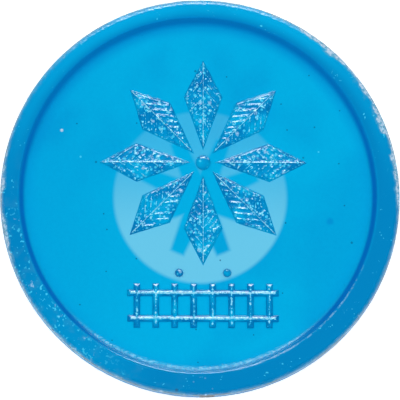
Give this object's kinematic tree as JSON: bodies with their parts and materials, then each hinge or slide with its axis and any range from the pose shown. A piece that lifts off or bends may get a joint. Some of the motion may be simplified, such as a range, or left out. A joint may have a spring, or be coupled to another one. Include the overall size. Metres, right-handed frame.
{
  "type": "transit token",
  "caption": "Round fare token of translucent plastic with a raised rim, a ribbed ray rosette and a track motif on the obverse and a toothed ring sunk into the reverse.",
  "frame": {"origin": "centre of the reverse rim face, which the token rests on", "axes": "+Z out of the obverse, +Y towards the rosette's side of the obverse, +X to the right as the obverse is read"},
  "size_m": [0.025, 0.025, 0.0018],
  "materials": {
    "body_plastic": "translucent cyan-blue moulded plastic, softly glossy, scuffed white on the rim's outer edge",
    "relief_plastic": "the same plastic, darker where it stands thicker, with fine sparkling ribs"
  },
  "bodies": {
    "root": {"rim_ring": "body_plastic", "field_disc": "body_plastic", "rosette_ray_1": "relief_plastic", "rosette_ray_2": "relief_plastic", "rosette_ray_3": "relief_plastic", "rosette_ray_4": "relief_plastic", "rosette_ray_5": "relief_plastic", "rosette_ray_6": "relief_plastic", "rosette_ray_7": "relief_plastic", "rosette_ray_8": "relief_plastic", "rosette_boss": "relief_plastic", "track_relief": "relief_plastic", "legend_dot_left": "relief_plastic", "legend_dot_right": "relief_plastic"}
  },
  "joints": []
}
